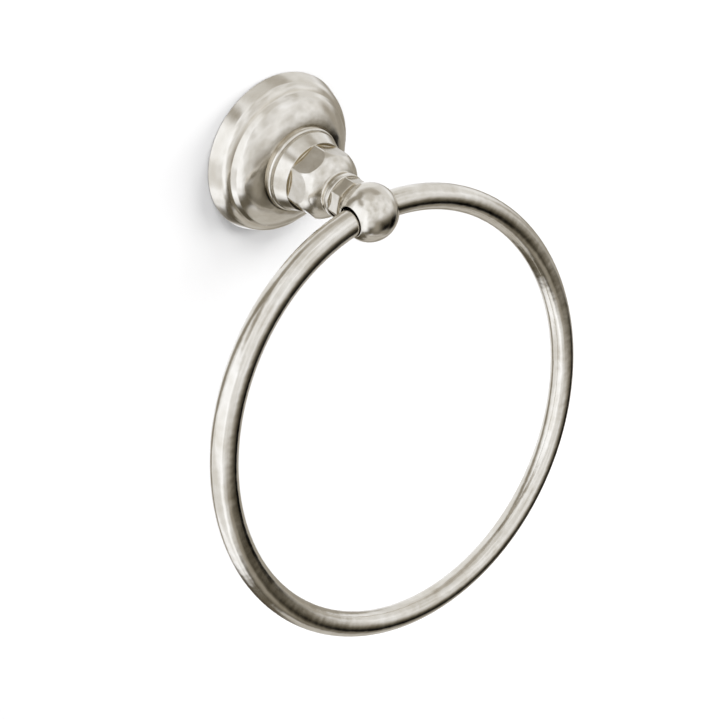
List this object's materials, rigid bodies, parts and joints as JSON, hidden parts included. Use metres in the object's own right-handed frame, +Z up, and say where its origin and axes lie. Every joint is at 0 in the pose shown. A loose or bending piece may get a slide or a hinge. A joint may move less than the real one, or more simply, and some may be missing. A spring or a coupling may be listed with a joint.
{
  "type": "towel ring",
  "caption": "Wall-mounted towel ring: a round bar ring swings in a ball on a faceted post, with a stepped rose that hides its fixing plate.",
  "frame": {"origin": "on the wall, at the middle of the rose's back and of the two screw holes", "axes": "+Y into the wall, so -Y is the front; +Z up; +X to the right seen from the front"},
  "size_m": [0.1756, 0.1081, 0.193],
  "materials": {
    "satin_nickel": "warm satin nickel plating, brushed and lacquered",
    "fixing_steel": "bright zinc plated steel"
  },
  "bodies": {
    "post": {"escutcheon": "satin_nickel", "wall_plate": "fixing_steel", "set_screw": "fixing_steel", "post_body": "satin_nickel", "ring_holder": "satin_nickel", "tie_screw": "fixing_steel", "lock_washer": "fixing_steel"},
    "ring": {"ring": "satin_nickel"}
  },
  "joints": [
    {"name": "ring_swing", "type": "hinge", "parent": "post", "child": "ring", "pos_m": [0, -0.05099, 0], "axis": [-1, 0, 0], "range_deg": [-34.5, 177.5]}
  ]
}
